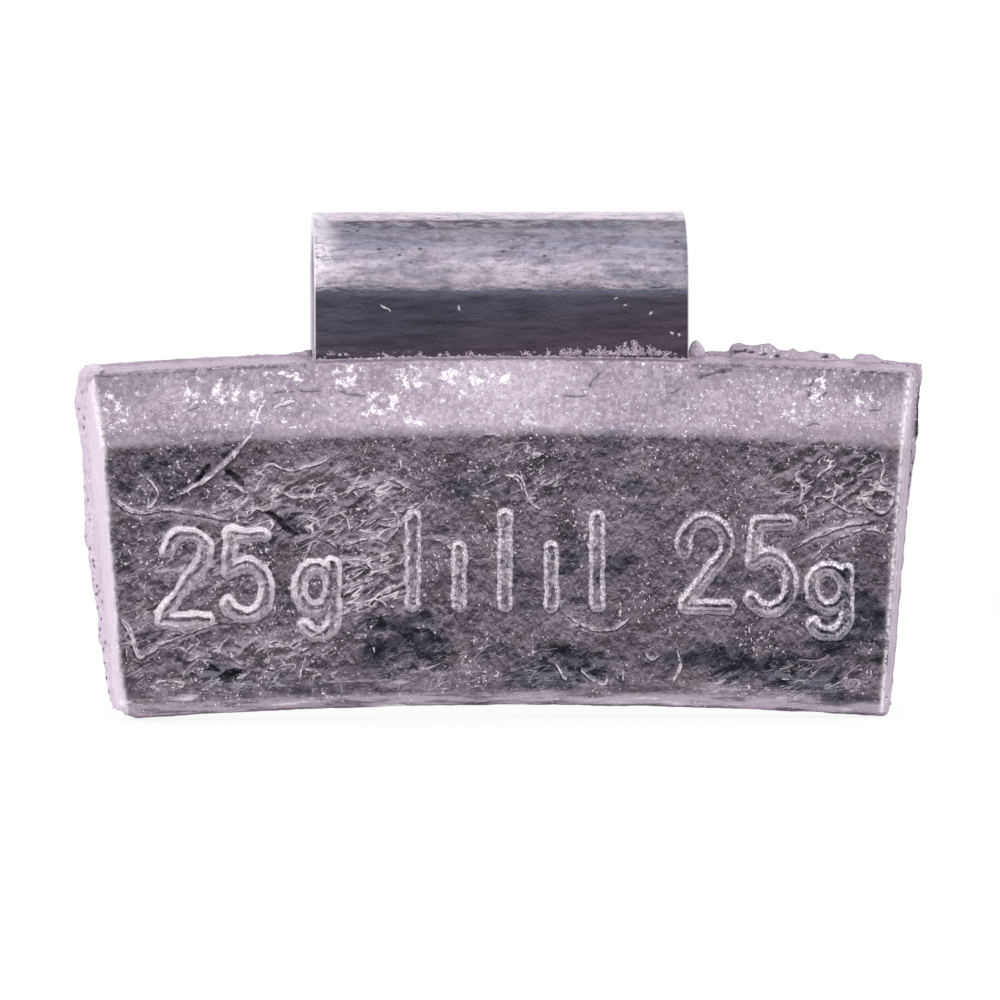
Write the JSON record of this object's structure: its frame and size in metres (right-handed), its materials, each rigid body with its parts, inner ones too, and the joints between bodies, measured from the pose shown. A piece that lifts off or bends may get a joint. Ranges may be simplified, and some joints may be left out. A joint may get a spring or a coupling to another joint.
{
  "type": "wheel balance weight",
  "caption": "Clip-on wheel balance weight: a curved lead alloy bar cast round a rolled spring steel clip that grips the edge of a car wheel rim.",
  "frame": {"origin": "axis of the clip's curl at mid width, where the rounded edge of the rim sits", "axes": "+X along the rim, +Z out of the wheel along its radius with the clip on top, -Y the marked front of the casting, +Y towards the rim and tyre"},
  "size_m": [0.0404, 0.0099, 0.0238],
  "materials": {
    "lead": "as-cast lead alloy, dull grey with bright ridges and fins",
    "spring_steel": "zinc-plated, satin, with fine streaks along the strip"
  },
  "bodies": {
    "root": {"lead_body": "lead", "spring_clip": "spring_steel"}
  },
  "joints": []
}
